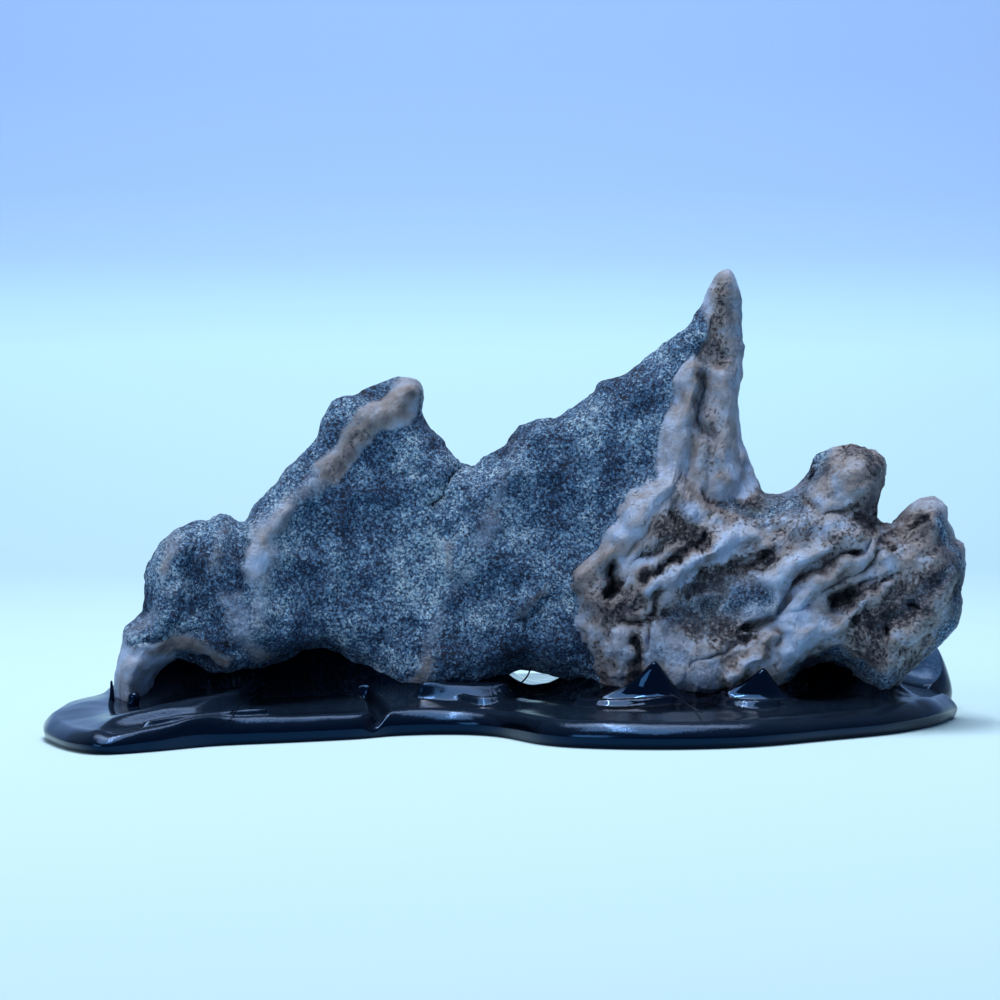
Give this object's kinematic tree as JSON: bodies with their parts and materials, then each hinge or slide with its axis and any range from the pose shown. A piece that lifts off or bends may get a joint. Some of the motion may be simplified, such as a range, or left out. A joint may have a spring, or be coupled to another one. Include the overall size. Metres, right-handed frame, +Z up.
{
  "type": "scholars rock on a poured base",
  "caption": "Natural two-peaked grey schist and white calcite viewing stone with arched feet, standing in a low, glossy black poured resin base.",
  "frame": {"origin": "on the ground, under the middle of the base's bounding box", "axes": "+Z up; +X along the stone towards its lower white end; the display face looks along -Y"},
  "size_m": [0.15, 0.09, 0.075],
  "materials": {
    "stone": "rough grey schist with waxy white and tan calcite",
    "resin": "black, glossy on top and satin at the rim"
  },
  "bodies": {
    "root": {"stone": "stone", "base": "resin"}
  },
  "joints": []
}
